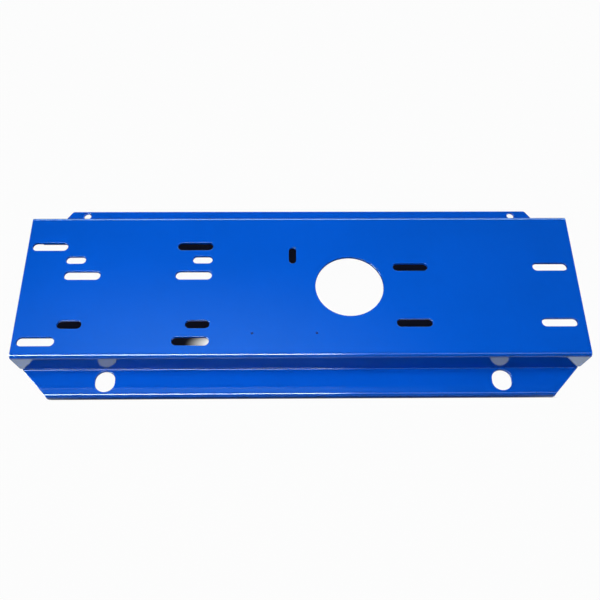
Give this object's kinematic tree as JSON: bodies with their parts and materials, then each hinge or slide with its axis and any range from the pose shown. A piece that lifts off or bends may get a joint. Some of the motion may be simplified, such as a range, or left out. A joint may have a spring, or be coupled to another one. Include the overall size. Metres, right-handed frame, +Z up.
{
  "type": "tank mounting bracket",
  "caption": "Folded steel top plate for an air tank, with leaning webs, two tapered foot flanges, one lipped, slots for a motor and a pump, and a large round hole.",
  "frame": {"origin": "under the middle of the part's overall box, level with the bottom edge of the front lip", "axes": "+X along the bracket's length, with the large hole right of the middle; +Y from the lipped front to the rear flange; +Z up, square to the top plate"},
  "size_m": [0.711, 0.2814, 0.0625],
  "materials": {
    "blue_powder_coat": "gloss royal blue powder coat on folded steel sheet"
  },
  "bodies": {
    "root": {"bracket": "blue_powder_coat"}
  },
  "joints": []
}
